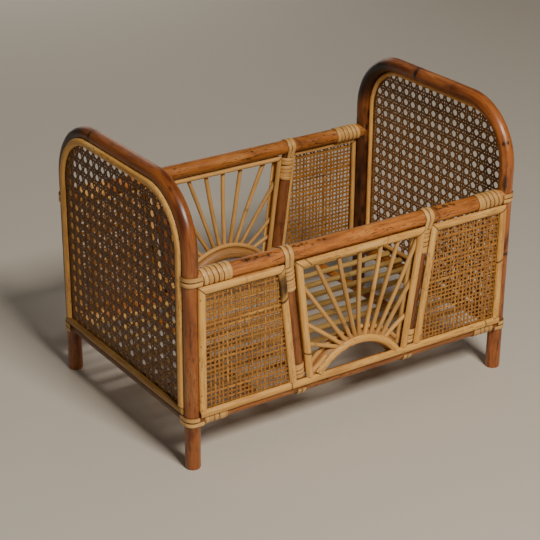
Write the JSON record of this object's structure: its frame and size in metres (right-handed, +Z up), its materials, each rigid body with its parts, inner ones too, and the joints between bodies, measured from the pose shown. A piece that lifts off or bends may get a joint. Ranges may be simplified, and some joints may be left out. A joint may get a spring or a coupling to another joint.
{
  "type": "bassinet on stand",
  "caption": "Rattan cot for a doll or a newborn prop: bent pole hoops at both ends, cane side and end panels, a sunburst on each side and a slatted base on four short legs.",
  "frame": {"origin": "middle of the footprint, on the floor", "axes": "+X from the foot end to the taller head end, +Y from the front side to the back side, +Z up"},
  "size_m": [0.4224, 0.2784, 0.3133],
  "materials": {
    "pole": "varnished rattan pole, glossy, with nodes",
    "strut_pole": "varnished rattan pole, darker red-brown",
    "strip": "pale half-round rattan strip, satin",
    "reed": "peeled rattan core reed, satin",
    "slat_reed": "peeled rattan core, dull olive straw",
    "side_cane": "woven cane sheet, satin",
    "end_webbing": "open hexagonal cane webbing, satin",
    "binding_peel": "flat cane peel, satin",
    "brad_steel": "dull steel"
  },
  "bodies": {
    "root": {"back_arch_inner_trim": "reed", "back_arch_pole": "pole", "back_arch_trim": "strip", "back_bottom_rail": "pole", "back_bottom_trim": "strip", "back_foot_cane_frame": "strip", "back_foot_cane_inner_frame": "reed", "back_foot_cane_panel": "side_cane", "back_foot_strut": "strut_pole", "back_head_cane_frame": "strip", "back_head_cane_inner_frame": "reed", "back_head_cane_panel": "side_cane", "back_head_strut": "strut_pole", "back_sun_frame": "strip", "back_sun_inner_frame": "reed", "back_sun_rays": "reed", "back_top_rail": "pole", "base_bearers": "pole", "base_slats": "slat_reed", "bottom_post_bands": "binding_peel", "bottom_rail_wraps": "binding_peel", "foot_cross_rail": "pole", "foot_hoop": "pole", "foot_inner_sill": "reed", "foot_inner_trim": "reed", "foot_outer_sill": "strip", "foot_outer_trim": "strip", "foot_webbing": "end_webbing", "front_arch_inner_trim": "reed", "front_arch_pole": "pole", "front_arch_trim": "strip", "front_bottom_rail": "pole", "front_bottom_trim": "strip", "front_foot_cane_frame": "strip", "front_foot_cane_inner_frame": "reed", "front_foot_cane_panel": "side_cane", "front_foot_strut": "strut_pole", "front_head_cane_frame": "strip", "front_head_cane_inner_frame": "reed", "front_head_cane_panel": "side_cane", "front_head_strut": "strut_pole", "front_sun_frame": "strip", "front_sun_inner_frame": "reed", "front_sun_rays": "reed", "front_top_rail": "pole", "head_cross_rail": "pole", "head_hoop": "pole", "head_inner_sill": "reed", "head_inner_trim": "reed", "head_outer_sill": "strip", "head_outer_trim": "strip", "head_webbing": "end_webbing", "strut_bottom_straps": "binding_peel", "strut_bottom_wraps": "binding_peel", "strut_top_straps": "binding_peel", "strut_top_wraps": "binding_peel", "top_post_bands": "binding_peel", "top_rail_wraps": "binding_peel", "trim_brads": "brad_steel"}
  },
  "joints": []
}
